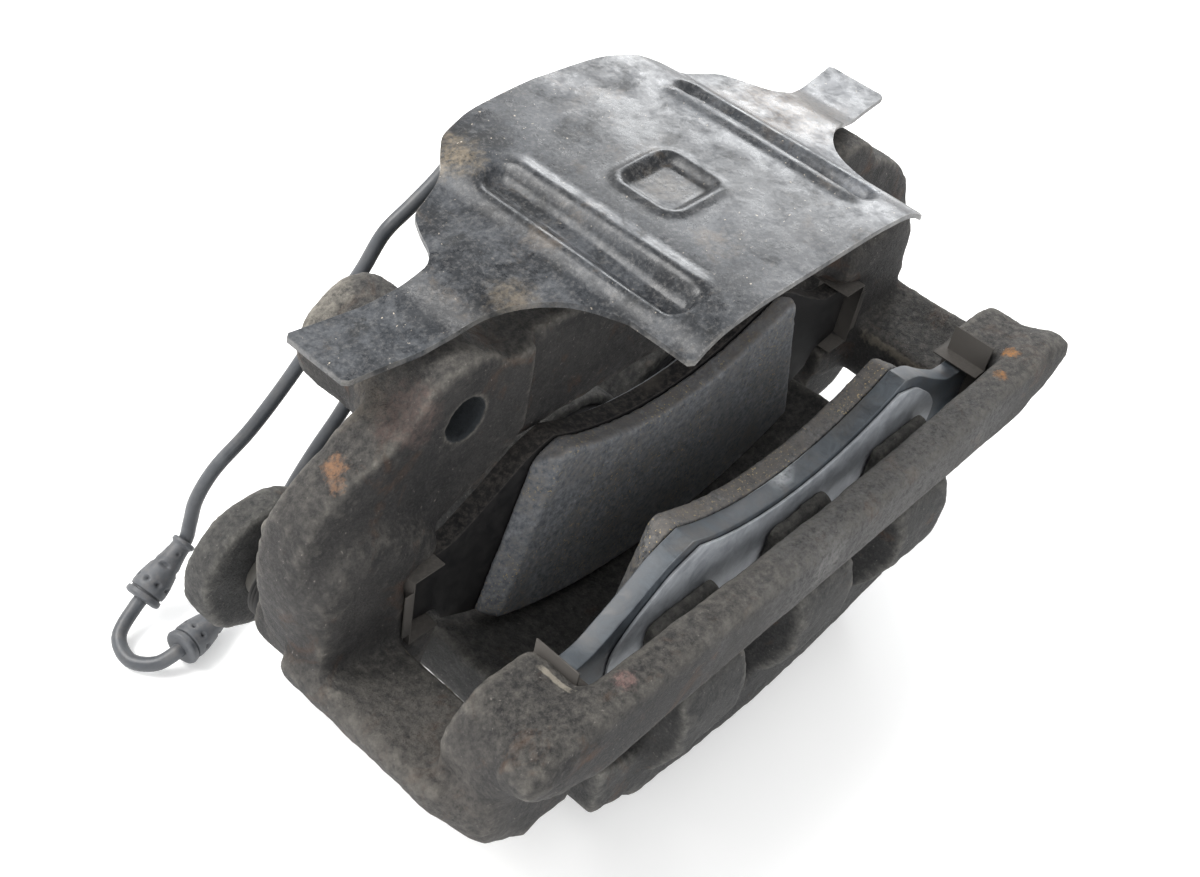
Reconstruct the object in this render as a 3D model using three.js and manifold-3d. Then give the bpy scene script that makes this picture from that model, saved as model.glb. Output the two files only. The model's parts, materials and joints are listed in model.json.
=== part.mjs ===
// Floating twin-piston disc brake caliper, lying on its bridge with the hub side up.
//
// Millimetres. +X runs along the tie bar, +Y points inboard (away from the road wheel) and
// +Z points from the bridge to the hub. Z = 0 is the surface that the caliper lies on.
// The pieces are drawn with Y = 0 at the middle of the disc slot; the last lines move the
// whole caliper so that the origin is under the middle of its box.
import * as THREE from 'three';
import { mergeVertices } from 'three/addons/utils/BufferGeometryUtils.js';
import Module from 'manifold-3d';

const wasm = await Module();
wasm.setup();

// ---- driving dimensions -------------------------------------------------------------

const gap = 0.3; // clearance between pieces that touch
const cornerSteps = 3; // flats in a rounded corner
const cornerShare = 0.48; // most of a side that one rounded corner may take
const boxMiddleY = 29.5; // middle of the caliper's box, from the middle of the disc slot

const disc = { centreZ: 201.7 }; // the brake disc's axis

const pad = {
  innerRadius: 111.7,
  outerRadius: 170.5,
  cornerX: 49,
  faceY: 14.6,
  liningBackY: 21,
  plateFrontY: 21.3,
  plateBackY: 27.3,
  shimBackY: 28.5,
  liningAngle: 25.1,
  endTilt: 16.8,
  earX: 98,
  earTopZ: 82,
  earBottomZ: 62,
  chamfer: 4.5,
};

const slot = { outerX: 100.7, topZ: 84.2, bottomZ: 59.1, wall: 0.5 }; // where a pad's ear slides

const boss = {
  x: 80,
  z: 122,
  radius: 18.5,
  backRadius: 15.8,
  shoulderY: 44,
  taperLength: 6,
  holeRadius: 6.2,
  frontY: 25,
  backY: 71,
};

const bar = { frontY: -48, backY: -36, halfLength: 127 };

const pin = {
  x: 103,
  z: 45,
  radius: 6.3,
  waistRadius: 4.9,
  boreRadius: 7.2,
  bossRadius: 15,
  bossEndY: 60,
  tipY: 27,
  collarRadius: 8.6,
  collarLength: 3.5,
};

const pinBolt = { radius: 4, flangeRadius: 9, flangeThickness: 1.8, flats: 13, headHeight: 8, depth: 12 };

const pinBoot = { foldRadius: 12, waistRadius: 9.2, folds: 2 };

const ear = { frontY: 70, backY: 81, radius: 22, holeRadius: 5 };

const bridge = { innerRadius: 175, outerRadius: 193, halfWidth: 85, frontY: -40, backY: 40 };

const finger = { spacing: 51, width: 27, faceY: -28.8, frontY: -49, tipZ: 83 };

const cylinder = { x: 25.7, z: 60, radius: 29, boreRadius: 21.3, frontY: 33, bottomY: 76, backY: 88 };

const piston = { radius: 21, faceY: 28.8, backY: 70, cupRadius: 15.5, cupDepth: 31 };

const seal = { outerRadius: 23.7, frontY: 43, backY: 46.6 };

const dustBoot = { outerRadius: 24.8, recessRadius: 25.1, frontY: 31, backY: 37.7 };

const bleeder = { x: 38, z: 74, bossRadius: 8.5, bossY: 91, threadRadius: 4, flats: 11 };

const port = { z: 62, bossRadius: 12, bossY: 91, holeRadius: 5, bottomY: 70 };

const plate = {
  thickness: 1.6,
  grooveX: 38,
  grooveFrontY: 1,
  grooveBackY: 62,
  grooveRadius: 5.6,
  grooveAxisZ: 158.8,
};

const bracket = { frontY: 88.3, backY: 90.3, boltX: -34, boltZ: 56, boltHoleRadius: 3.3 };

const lead = { radius: 2.25, steps: 72, sides: 8 };

// The sensor lead's route, from the sensor head over the two grommets to the parked connector.
const leadRoute = [
  [-17, 98, 131], [-21.5, 98.8, 126.2], [-29.5, 100.1, 119.7], [-37, 101.7, 113.2],
  [-43.5, 103.2, 101.6], [-54.4, 105.7, 84.9], [-66, 107.7, 68.4], [-78.5, 109.5, 54],
  [-90.1, 111.7, 42.8], [-96.1, 112.7, 33], [-98.4, 112.9, 24.5],
  [-101, 112.2, 18.6], [-110.4, 110.55, 13.55], [-119.8, 108.9, 8.5], [-122, 108.5, 7.3],
  [-131, 104.1, 4.2], [-132.8, 96.2, 2.6], [-128.4, 89.3, 4.2], [-123, 87.35, 6.6],
  [-121.5, 87.6, 6.6], [-110.85, 89.45, 6.6], [-100.2, 91.3, 6.6], [-96.3, 92, 6.6],
  [-88, 94.2, 13], [-80, 96.6, 23.5], [-72, 98, 34], [-63, 98.5, 44], [-54, 98.5, 53.5],
  [-47.5, 98.5, 62], [-44, 98.5, 69],
];

// Each grommet's narrow and wide ends.
const grommetEnds = {
  lead_grommet_upper: [[-101, 112.2, 18.6], [-119.8, 108.9, 8.5]],
  lead_grommet_lower: [[-100.2, 91.3, 6.6], [-121.5, 87.6, 6.6]],
};

// ---- from three.js geometry to a solid and back ------------------------------------------

function toSolid(geometry) {
  const bare = geometry.clone();
  bare.deleteAttribute('normal');
  bare.deleteAttribute('uv');
  const merged = mergeVertices(bare, 1e-4);
  const vertProperties = Float32Array.from(merged.attributes.position.array);
  const corners = merged.index.array;
  const triVerts = [];
  for (let first = 0; first < corners.length; first += 3) {
    const [a, b, c] = corners.slice(first, first + 3);
    if (a !== b && b !== c && c !== a) triVerts.push(a, b, c);
  }
  if (signedVolume(vertProperties, triVerts) < 0) triVerts.reverse();
  const mesh = new wasm.Mesh({ numProp: 3, vertProperties, triVerts: Uint32Array.from(triVerts) });
  return new wasm.Manifold(mesh);
}

function signedVolume(positions, triVerts) {
  const [a, b, c] = [new THREE.Vector3(), new THREE.Vector3(), new THREE.Vector3()];
  let volume = 0;
  for (let first = 0; first < triVerts.length; first += 3) {
    a.fromArray(positions, triVerts[first] * 3);
    b.fromArray(positions, triVerts[first + 1] * 3);
    c.fromArray(positions, triVerts[first + 2] * 3);
    volume += a.dot(b.cross(c)) / 6;
  }
  return volume;
}

function toGeometry(solid) {
  const mesh = solid.getMesh();
  const geometry = new THREE.BufferGeometry();
  geometry.setAttribute('position', new THREE.BufferAttribute(mesh.vertProperties, 3));
  geometry.setIndex(new THREE.BufferAttribute(mesh.triVerts, 1));
  const faceted = geometry.toNonIndexed();
  faceted.computeVertexNormals();
  return faceted;
}

function join(...solids) {
  return solids.reduce((whole, piece) => whole.add(piece));
}

function cut(solid, ...tools) {
  return tools.reduce((whole, tool) => whole.subtract(tool), solid);
}

// ---- outlines ------------------------------------------------------------------------------

// A closed outline through [a, b] or [a, b, corner radius] points. A corner keeps to its own
// half of the sides that meet in it, and a point that repeats the one before it is dropped.
function outline(points) {
  const corners = points.filter(([a, b], index) => {
    const [lastA, lastB] = points[(index + points.length - 1) % points.length];
    return Math.hypot(a - lastA, b - lastB) > 1e-6;
  });
  const shape = new THREE.Shape();
  const count = corners.length;
  corners.forEach(([a, b, radius = 0], index) => {
    const corner = new THREE.Vector2(a, b);
    const toBefore = new THREE.Vector2(...corners[(index + count - 1) % count]).sub(corner);
    const toAfter = new THREE.Vector2(...corners[(index + 1) % count]).sub(corner);
    const reach = Math.min(radius, toBefore.length() * cornerShare, toAfter.length() * cornerShare);
    const start = toBefore.setLength(reach).add(corner);
    const end = toAfter.setLength(reach).add(corner);
    if (index === 0) shape.moveTo(start.x, start.y);
    else shape.lineTo(start.x, start.y);
    if (reach > 0) shape.quadraticCurveTo(corner.x, corner.y, end.x, end.y);
  });
  shape.closePath();
  return shape;
}

function onSide(points, side) {
  return points.map(([a, b, radius = 0]) => [a * side, b, radius]);
}

function mirrored(points) {
  return [...points, ...onSide(points, -1).reverse()];
}

// Points of an arc about the disc's axis between two angles, in degrees from straight down.
function discArc(radius, fromAngle, toAngle, steps) {
  return Array.from({ length: steps + 1 }, (_, step) => {
    const angle = THREE.MathUtils.degToRad(fromAngle + ((toAngle - fromAngle) * step) / steps);
    return [radius * Math.sin(angle), disc.centreZ - radius * Math.cos(angle)];
  });
}

function angleAtX(radius, x) {
  return THREE.MathUtils.radToDeg(Math.asin(x / radius));
}

// ---- prisms, rods and turned pieces --------------------------------------------------------

const axes = {
  x: new THREE.Vector3(1, 0, 0),
  y: new THREE.Vector3(0, 1, 0),
  z: new THREE.Vector3(0, 0, 1),
};

function extrude(shape, depth) {
  const options = { depth, bevelEnabled: false, curveSegments: cornerSteps };
  return new THREE.ExtrudeGeometry(shape, options);
}

// An X-Z outline carried along Y.
function prismY(points, fromY, toY) {
  const geometry = extrude(outline(points), toY - fromY);
  const turn = new THREE.Matrix4().makeBasis(axes.x, axes.z, axes.y.clone().negate());
  return toSolid(geometry.applyMatrix4(turn).translate(0, toY, 0));
}

// A Y-Z outline carried along X.
function prismX(points, fromX, toX) {
  const geometry = extrude(outline(points), toX - fromX);
  const turn = new THREE.Matrix4().makeBasis(axes.y, axes.z, axes.x);
  return toSolid(geometry.applyMatrix4(turn).translate(fromX, 0, 0));
}

// An X-Y outline carried along Z.
function prismZ(points, fromZ, toZ) {
  const geometry = extrude(outline(points), toZ - fromZ);
  return toSolid(geometry.translate(0, 0, fromZ));
}

function block(low, high) {
  const size = high.map((value, index) => value - low[index]);
  const middle = high.map((value, index) => (value + low[index]) / 2);
  return toSolid(new THREE.BoxGeometry(...size).translate(...middle));
}

// A round bar along Y.
function rod(radius, x, z, fromY, toY, sides = 16) {
  const geometry = new THREE.CylinderGeometry(radius, radius, toY - fromY, sides);
  return toSolid(geometry.translate(x, (fromY + toY) / 2, z));
}

// A turned piece about an axis along Y. The profile lists [radius, y].
function turned(profile, x, z, sides = 16) {
  const points = profile.map(([radius, y]) => new THREE.Vector2(radius, y));
  points.push(points[0].clone());
  return toSolid(new THREE.LatheGeometry(points, sides).translate(x, 0, z));
}

function sleeve(innerRadius, outerRadius, x, z, fromY, toY, sides = 16) {
  const profile = [[innerRadius, fromY], [outerRadius, fromY], [outerRadius, toY], [innerRadius, toY]];
  return turned(profile, x, z, sides);
}

function hexBar(flats, x, z, fromY, toY) {
  return rod(flats / Math.sqrt(3), x, z, fromY, toY, 6);
}

// ---- carrier ---------------------------------------------------------------------------------

function slotOutline(side, clearance) {
  const outerX = slot.outerX - clearance;
  const topZ = slot.topZ - clearance;
  const bottomZ = slot.bottomZ + clearance;
  return onSide([[70, topZ], [outerX, topZ], [outerX, bottomZ], [70, bottomZ]], side);
}

function tieBar() {
  const { halfLength } = bar;
  const edge = mirrored([
    [0, 90], [35, 91], [70, 93, 8], [100, 94.5], [117, 94, 4], [halfLength, 90, 4],
    [halfLength, 84, 3], [114, 74, 5], [98, 70.5, 5], [78, 71.5, 8], [40, 71.5], [0, 71],
  ]);
  return prismY(edge, bar.frontY, bar.backY);
}

function arm(side) {
  const section = [
    [103.5, 65, 3], [118, 67], [131, 71, 3], [134, 68, 3], [131, 60], [122, 50, 6], [110, 43, 4],
    [103.5, 46, 3],
  ];
  const straight = prismY(onSide(section, side), bar.backY - 2, 30);
  const taper = [[134.5, -18], [125, -40], [145, -40], [145, -18]];
  return cut(straight, prismZ(onSide(taper, side), 30, 90));
}

function outerAbutment(side) {
  const section = [
    [96, 91.5, 2], [119, 91.5, 5], [126, 80], [124, 56], [104, 44], [94, 46, 3], [89, 54, 2],
    [89, 80], [96, 80],
  ];
  return prismY(onSide(section, side), bar.backY - 2, -18);
}

// The side wall's lower half stands further out towards the disc than the half at the boss.
function sideWall(side) {
  const whole = [
    [56, 134], [98, 130, 6], [110, 124, 6], [122, 117, 6], [129, 109, 4], [132.5, 97], [132, 84],
    [129, 70], [122, 52, 6], [104, 40, 4], [93, 42, 3], [88, 50, 2], [88, 86.5, 2], [80, 91],
    [66, 98], [56, 104.5],
  ];
  const lower = [
    [92, 96, 4], [112, 106, 8], [125, 102, 6], [129.5, 92], [129.5, 70], [120, 52], [104, 44],
    [93, 46, 3], [88, 52, 2], [88, 86.5, 2],
  ];
  return join(prismY(onSide(whole, side), 25, 41), prismY(onSide(lower, side), 18, 26));
}

function mountingBoss(side) {
  const { x, z, radius, backRadius, shoulderY, taperLength, frontY, backY } = boss;
  return turned([
    [0, frontY], [radius, frontY], [radius, shoulderY], [backRadius, shoulderY + taperLength],
    [backRadius, backY], [0, backY],
  ], x * side, z, 28);
}

function web() {
  const edge = mirrored([[0, 134], [66, 134], [66, 96], [0, 96]]);
  return prismY(edge, 29, 42);
}

function pinBoss(side) {
  const round = rod(pin.bossRadius, pin.x * side, pin.z, 20, pin.bossEndY);
  const gusset = prismY(onSide([[102, 46], [104, 98], [122, 92], [119, 46]], side), 38, 52);
  return join(round, gusset);
}

function carrier() {
  let body = join(tieBar(), web());
  for (const side of [-1, 1]) {
    body = join(body, arm(side), outerAbutment(side), sideWall(side), mountingBoss(side), pinBoss(side));
  }
  for (const side of [-1, 1]) {
    const hole = rod(boss.holeRadius, boss.x * side, boss.z, 0, 90);
    const bore = rod(pin.boreRadius, pin.x * side, pin.z, 23, 70);
    const innerSlot = prismY(slotOutline(side, 0), 10, 56);
    const outerSlot = prismY(slotOutline(side, 0), bar.backY + 1, -10);
    body = cut(body, hole, bore, innerSlot, outerSlot);
  }
  return body;
}

// A stainless channel that lines the slot of one pad's ear, with a flange bent over the casting.
function padClip(side, inner) {
  const { wall } = slot;
  const [fromY, toY] = inner ? [17, 33] : [-33, -17];
  const flangeY = inner ? fromY : toY;
  const outer = prismY(slotOutline(side, gap), fromY, toY);
  const hollow = prismY(slotOutline(side, gap + wall), fromY - 5, toY + 5);
  const keep = prismY(onSide([[90, 50], [110, 50], [110, 95], [90, 95]], side), fromY, toY);
  const flangeEnd = flangeY + Math.sign(flangeY) * wall;
  const flange = prismY(
    onSide([[slot.outerX - 0.6, 64], [103, 64], [103, 80], [slot.outerX - 0.6, 80]], side),
    Math.min(flangeY, flangeEnd),
    Math.max(flangeY, flangeEnd),
  );
  const channel = join(cut(outer, hollow).intersect(keep), flange);
  if (inner) return channel;
  const lipTop = slot.topZ - gap - wall;
  const upstand = [[95.2, lipTop], [95.7, lipTop], [95.7, 93], [95.2, 93]];
  return join(channel, prismY(onSide(upstand, side), fromY, toY - 2));
}

// ---- shield plate -------------------------------------------------------------------------------

function shieldPlate() {
  const { thickness, grooveX, grooveFrontY, grooveBackY, grooveRadius, grooveAxisZ } = plate;
  const top = [[0, 158], [20, 157.8], [38, 156.4], [44, 154.6], [49.8, 151.6], [58, 150.4],
    [70.5, 148.9], [82, 144.6], [91, 142.6], [110, 142.4]];
  const across = [...onSide(top.slice(1), -1).reverse(), ...top];
  const under = across.map(([x, z]) => [x, z - thickness]).reverse();
  const arched = prismY([...across, ...under], -20, 95);
  const edge = mirrored([
    [49.8, -14.4, 1], [49.7, 5.3], [56.8, 20.2, 6], [73.7, 30, 6], [94.3, 34.3, 4],
    [109.7, 36.1, 1], [109.7, 57.4, 1], [72, 51.5, 4], [62.6, 66.1, 2], [55.7, 69.1],
    [47, 72.8, 4], [38, 82.3, 4], [26, 85.2], [9.5, 86.8],
  ]);
  let sheet = arched.intersect(prismZ(edge, 130, 170));
  for (const side of [-1, 1]) {
    const x = grooveX * side;
    const outer = capsule(grooveRadius + thickness, x, grooveAxisZ, grooveFrontY, grooveBackY);
    const shell = outer.intersect(block([x - 12, -12, 140], [x + 12, 80, 156]));
    const hollow = capsule(grooveRadius, x, grooveAxisZ, grooveFrontY, grooveBackY);
    sheet = cut(join(sheet, shell), hollow);
  }
  const pocket = block([-16.5, 22.4, 154], [6, 41.4, 157]);
  return cut(join(sheet, pocket), block([-14.9, 24, 155.6], [4.4, 39.8, 160]));
}

// A round-ended bar along Y.
function capsule(radius, x, z, fromY, toY) {
  const geometry = new THREE.CapsuleGeometry(radius, toY - fromY, 3, 12);
  return toSolid(geometry.translate(x, (fromY + toY) / 2, z));
}

// ---- pads --------------------------------------------------------------------------------------

function padPlate() {
  const { innerRadius, outerRadius, cornerX, earX, earTopZ, earBottomZ } = pad;
  const cornerAngle = angleAtX(innerRadius, cornerX);
  const edge = [
    ...discArc(innerRadius, -cornerAngle, cornerAngle, 12),
    [58, 98.5, 4], [70, 90.5, 5], [83, earTopZ + 1, 3], [earX, earTopZ, 1.5],
    [earX, earBottomZ, 1.5], [87, earBottomZ - 2, 2],
    ...discArc(outerRadius, 29.6, -29.6, 16),
    [-87, earBottomZ - 2, 2], [-earX, earBottomZ, 1.5], [-earX, earTopZ, 1.5],
    [-83, earTopZ + 1, 3], [-70, 90.5, 5], [-58, 98.5, 4],
  ];
  return prismY(edge, pad.plateFrontY, pad.plateBackY);
}

function padLining() {
  const { innerRadius, liningAngle, faceY, liningBackY } = pad;
  const cornerAngle = angleAtX(innerRadius, pad.cornerX);
  const outerRadius = pad.outerRadius - 1;
  const edge = [
    ...discArc(innerRadius, -cornerAngle, cornerAngle, 12),
    [57, 98, 3],
    ...discArc(outerRadius, liningAngle, -liningAngle, 16),
    [-57, 98, 3],
  ];
  let lining = prismY(edge, faceY, liningBackY);
  for (const side of [-1, 1]) {
    const tilt = THREE.MathUtils.degToRad(pad.endTilt);
    const outward = new THREE.Vector3(Math.cos(tilt) * side, -1, Math.sin(tilt)).normalize();
    const [cornerX, cornerZ] = discArc(outerRadius, liningAngle * side, liningAngle * side, 1)[0];
    const corner = new THREE.Vector3(cornerX, faceY, cornerZ);
    const offset = outward.dot(corner) - pad.chamfer / Math.SQRT2;
    lining = lining.trimByPlane([-outward.x, -outward.y, -outward.z], -offset);
  }
  return lining;
}

function padShim() {
  const { innerRadius, outerRadius, plateBackY, shimBackY } = pad;
  const topAngle = angleAtX(innerRadius + 1.5, 46);
  const edge = [
    ...discArc(innerRadius + 1.5, -topAngle, topAngle, 10),
    [57, 95, 3], [69, 86, 3], [76, 78, 4],
    ...discArc(outerRadius - 3, 26.5, -26.5, 12),
    [-76, 78, 4], [-69, 86, 3], [-57, 95, 3],
  ];
  return prismY(edge, plateBackY + gap, shimBackY);
}

// ---- housing ---------------------------------------------------------------------------------

function bridgeArch() {
  const { innerRadius, outerRadius, halfWidth, frontY, backY } = bridge;
  const innerAngle = angleAtX(innerRadius, halfWidth);
  const outerAngle = angleAtX(outerRadius, halfWidth);
  const edge = [
    ...discArc(innerRadius, -innerAngle, innerAngle, 16),
    ...discArc(outerRadius, outerAngle, -outerAngle, 16),
  ];
  return prismY(edge, frontY, backY);
}

function fingerAt(x) {
  const { width, faceY, frontY, tipZ } = finger;
  const section = [
    [faceY, tipZ - 1], [faceY - 2, tipZ, 1], [faceY - 6, tipZ - 3, 2], [faceY - 6.4, 69.5, 1],
    [frontY + 3, 68, 3], [frontY, 58], [frontY, 46], [frontY + 5, 34, 4], [frontY + 13, 24],
    [faceY, 14],
  ];
  return prismX(section, x - width / 2, x + width / 2);
}

function footAt(x) {
  const { width } = finger;
  const section = [
    [-40, 20], [-38, 12, 6], [-22, 0, 8], [44, 0, 8], [66, 14, 6], [70, 34], [40, 34], [36, 20],
  ];
  return prismX(section, x - width / 2 + 1, x + width / 2 - 1);
}

function backBody() {
  const { frontY, backY } = cylinder;
  const edge = mirrored([[0, 70], [46, 70, 4], [58, 52, 6], [58, 38, 6], [48, 18, 6], [0, 14]]);
  return prismY(edge, frontY, backY - 6);
}

function earArm(side) {
  const edge = [
    [36, 70], [56, 60, 6], [84, 56, 6], [pin.x, 60], [pin.x + 8, 55], [pin.x + 8, 35],
    [pin.x, 28], [86, 28, 6], [58, 30, 6], [36, 34],
  ];
  const blade = prismY(onSide(edge, side), ear.frontY, ear.backY);
  const round = rod(ear.radius, pin.x * side, pin.z, ear.frontY, ear.backY, 28);
  const gusset = prismY(onSide([[50, 60], [70, 56], [70, 38], [50, 36]], side), 58, ear.backY);
  return join(blade, round, gusset);
}

function boreCut(side) {
  const x = cylinder.x * side;
  const { boreRadius, frontY, bottomY } = cylinder;
  const bore = rod(boreRadius, x, cylinder.z, frontY - 2, bottomY, 32);
  const sealGroove = rod(seal.outerRadius + gap, x, cylinder.z, seal.frontY - gap, seal.backY + gap, 32);
  const recess = rod(dustBoot.recessRadius, x, cylinder.z, frontY - 2, dustBoot.backY + gap, 32);
  return join(bore, sealGroove, recess);
}

function housing() {
  let body = join(bridgeArch(), backBody());
  for (const x of [-finger.spacing, 0, finger.spacing]) body = join(body, fingerAt(x), footAt(x));
  for (const side of [-1, 1]) {
    const barrel = rod(cylinder.radius, cylinder.x * side, cylinder.z, cylinder.frontY, cylinder.backY, 32);
    body = join(body, barrel, earArm(side));
  }
  const bleederBoss = rod(bleeder.bossRadius, bleeder.x, bleeder.z, 70, bleeder.bossY);
  const portBoss = rod(port.bossRadius, 0, port.z, 70, port.bossY);
  body = join(body, bleederBoss, portBoss);
  for (const side of [-1, 1]) {
    body = cut(body, boreCut(side), rod(ear.holeRadius, pin.x * side, pin.z, 60, 95));
  }
  body = cut(body, rod(port.holeRadius, 0, port.z, port.bottomY, 100));
  const tapped = rod(bleeder.threadRadius + gap, bleeder.x, bleeder.z, 73, 100);
  const bracketHole = rod(bracket.boltHoleRadius, bracket.boltX, bracket.boltZ, 79, 100, 16);
  return cut(body, tapped, bracketHole);
}

function pistonCup(side) {
  const { radius, faceY, backY, cupRadius, cupDepth } = piston;
  const profile = [
    [0, faceY + cupDepth], [cupRadius, faceY + cupDepth], [cupRadius, faceY],
    [radius - 2.2, faceY], [radius - 2.2, faceY + 1.6], [radius, faceY + 2.4],
    [radius, backY - 1.5], [radius - 1.5, backY], [0, backY],
  ];
  return turned(profile, cylinder.x * side, cylinder.z, 32);
}

function pistonSeal(side) {
  const x = cylinder.x * side;
  return sleeve(cylinder.boreRadius, seal.outerRadius, x, cylinder.z, seal.frontY, seal.backY, 32);
}

function pistonDustBoot(side) {
  const { outerRadius, frontY, backY } = dustBoot;
  const inner = cylinder.boreRadius;
  const profile = [
    [inner, frontY], [inner + 1.8, frontY], [inner + 1.8, frontY + 2.6], [outerRadius - 1, 33.4],
    [outerRadius, 34.4], [outerRadius, backY], [inner + 1.2, backY], [inner + 1.2, 35],
    [inner, 34],
  ];
  return turned(profile, cylinder.x * side, cylinder.z, 32);
}

// ---- guide pins ----------------------------------------------------------------------------------

function guidePin(side) {
  const { radius, waistRadius, tipY, collarRadius, collarLength } = pin;
  const end = ear.frontY - gap;
  const boltHole = pinBolt.radius + gap;
  const holeEnd = end - pinBolt.depth - 2;
  const profile = [
    [0, tipY], [waistRadius - 0.8, tipY], [waistRadius, tipY + 1], [waistRadius, tipY + 12],
    [radius, tipY + 12.2], [radius, end - collarLength], [collarRadius, end - collarLength],
    [collarRadius, end], [boltHole, end], [boltHole, holeEnd], [0, holeEnd],
  ];
  return turned(profile, pin.x * side, pin.z);
}

function guidePinDamper(side) {
  const { waistRadius, boreRadius, x, z, tipY } = pin;
  return sleeve(waistRadius + gap, boreRadius - gap, x * side, z, tipY + 3.4, tipY + 11.8);
}

function guidePinBolt(side) {
  const { radius, flangeRadius, flangeThickness, flats, headHeight, depth } = pinBolt;
  const x = pin.x * side;
  const seatY = ear.backY + gap;
  const shank = rod(radius, x, pin.z, ear.frontY - depth, seatY + 1);
  const flange = rod(flangeRadius, x, pin.z, seatY, seatY + flangeThickness);
  return join(shank, flange, hexBar(flats, x, pin.z, seatY + 1, ear.backY + headHeight));
}

// A rubber bellows between the carrier's pin boss and the guide pin's collar.
function guidePinBoot(side) {
  const from = pin.bossEndY + gap;
  const to = ear.frontY - pin.collarLength - 2 * gap;
  const inner = pin.radius + gap;
  const { foldRadius, waistRadius, folds } = pinBoot;
  const pitch = (to - from) / folds;
  const profile = [[inner, from], [foldRadius, from]];
  for (let fold = 0; fold < folds; fold += 1) {
    const start = from + fold * pitch;
    profile.push([foldRadius, start + pitch * 0.45]);
    profile.push([waistRadius, start + pitch * 0.72], [waistRadius, start + pitch * 0.85]);
    if (fold < folds - 1) profile.push([foldRadius, start + pitch]);
  }
  profile.push([waistRadius, to], [inner, to]);
  return turned(profile, pin.x * side, pin.z);
}

// ---- bleeder -----------------------------------------------------------------------------------

function bleederScrew() {
  const { x, z, threadRadius, flats, bossY } = bleeder;
  const body = turned([
    [0, 75], [1.5, 74.6], [threadRadius, 78], [threadRadius, bossY + 1], [3.4, bossY + 1],
    [3.4, bossY + 9], [4, bossY + 9.5], [3, bossY + 14.6], [1.2, bossY + 14.6],
    [1.2, bossY + 6], [0, bossY + 6],
  ], x, z, 20);
  return join(body, hexBar(flats, x, z, bossY + gap, bossY + 6));
}

function bleederCap() {
  const from = bleeder.bossY + 6 + gap;
  const to = bleeder.bossY + 17;
  return turned([
    [4.3, from], [5.6, from], [5.6, from + 1.4], [5, from + 2], [5, to - 2], [3.6, to], [0, to],
    [0, to - 2], [4.3, to - 2],
  ], bleeder.x, bleeder.z, 20);
}

// ---- sensor lead -------------------------------------------------------------------------------

function leadBracket() {
  const { frontY, backY, boltX, boltZ, boltHoleRadius } = bracket;
  const edge = [
    [-45, 48, 6], [-24, 46, 6], [-22, 68, 6], [-7, 108, 6], [1, 134, 4], [-14, 135, 4],
    [-22, 112, 6], [-45, 86, 6],
  ];
  return cut(prismY(edge, frontY, backY), rod(boltHoleRadius, boltX, boltZ, 80, 100, 16));
}

function leadBracketBolt() {
  const { boltX, boltZ, boltHoleRadius, backY } = bracket;
  const shank = rod(boltHoleRadius - gap, boltX, boltZ, 80, backY + 1, 16);
  return join(shank, hexBar(10, boltX, boltZ, backY + gap, backY + 5));
}

// A turned piece about the line from one point to another. The profile lists [radius, distance].
function turnedAlong(profile, from, to, sides) {
  const start = new THREE.Vector3(...from);
  const direction = new THREE.Vector3(...to).sub(start).normalize();
  const points = profile.map(([radius, distance]) => new THREE.Vector2(radius, distance));
  points.push(points[0].clone());
  const geometry = new THREE.LatheGeometry(points, sides);
  const turn = new THREE.Quaternion().setFromUnitVectors(axes.y, direction);
  return toSolid(geometry.applyQuaternion(turn).translate(...from));
}

function sensorHead() {
  const [start, next] = leadRoute;
  const body = prismY([[-13, 123, 3], [0, 123, 3], [0, 137, 3], [-13, 137, 3]], 90.6, 101.5);
  const snout = turnedAlong([[0, -10], [4.6, -10], [4, -gap], [0, -gap]], start, next, 16);
  return join(body, snout);
}

// The plug at the lead's far end lies in the line of the route's last stretch.
function leadConnector() {
  const [before, end] = leadRoute.slice(-2);
  const barrel = [[0, gap], [3.6, gap], [4.6, 6], [6, 6.5], [6, 24], [4.7, 24], [4.7, 14], [0, 14]];
  const beyond = end.map((value, index) => 2 * value - before[index]);
  const foot = block([-42, bracket.backY + gap, 78], [-36, 96, 84]);
  return join(turnedAlong(barrel, end, beyond, 20), foot);
}

function leadGrommet([narrowEnd, wideEnd]) {
  const inner = lead.radius + 0.4;
  const profile = [
    [inner, 0], [3.4, 0], [3.4, 2], [4.1, 2.4], [4.1, 4], [3.6, 4.6], [4.6, 12], [5.4, 12.6],
    [6.3, 16], [6.3, 20], [5.4, 21.6], [inner, 21.6],
  ];
  return turnedAlong(profile, narrowEnd, wideEnd, 20);
}

function sensorLead() {
  const points = leadRoute.map((point) => new THREE.Vector3(...point));
  const extrudePath = new THREE.CatmullRomCurve3(points, false, 'centripetal');
  const corners = Array.from({ length: lead.sides }, (_, index) => {
    const angle = (2 * Math.PI * index) / lead.sides;
    return new THREE.Vector2(lead.radius * Math.cos(angle), lead.radius * Math.sin(angle));
  });
  const options = { steps: lead.steps, extrudePath, bevelEnabled: false };
  return toSolid(new THREE.ExtrudeGeometry(new THREE.Shape(corners), options));
}

// ---- finishes -----------------------------------------------------------------------------------

function finish(color, roughness, metalness) {
  return new THREE.MeshStandardMaterial({ color, roughness, metalness });
}

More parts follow.
